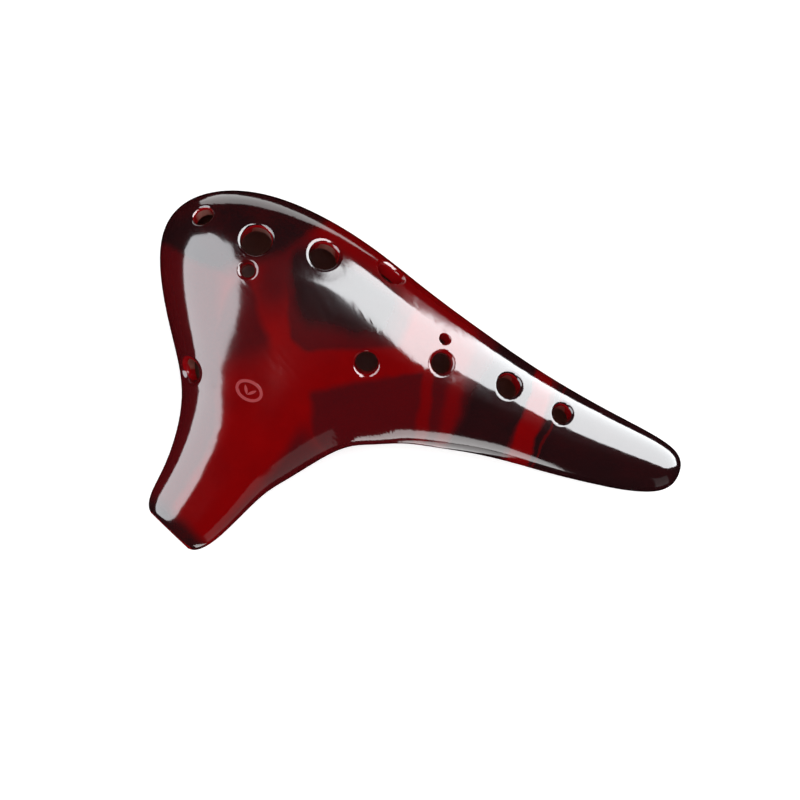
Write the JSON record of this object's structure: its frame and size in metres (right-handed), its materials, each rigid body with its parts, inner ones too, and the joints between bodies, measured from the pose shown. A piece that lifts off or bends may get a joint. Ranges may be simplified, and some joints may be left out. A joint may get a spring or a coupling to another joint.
{
  "type": "ocarina",
  "caption": "Transverse ceramic ocarina with a slanted mouthpiece, round tone holes and a long tapering tail, in glossy red and black glaze",
  "frame": {"origin": "on the ground under the middle of the instrument, which lies on its belly with the finger holes up", "axes": "+X to the tail, -Y to the mouthpiece, +Z out of the finger-hole face"},
  "size_m": [0.172, 0.1071, 0.044],
  "materials": {
    "flame_glaze": "glossy red glaze with near-black smoke patches",
    "bare_clay": "matt dark red-brown fired clay"
  },
  "bodies": {
    "root": {"front_shell": "flame_glaze", "back_shell": "flame_glaze", "windway_roof": "flame_glaze", "labium": "flame_glaze", "mark_sprig": "flame_glaze", "windway_block": "bare_clay", "seam_coil": "bare_clay"}
  },
  "joints": []
}
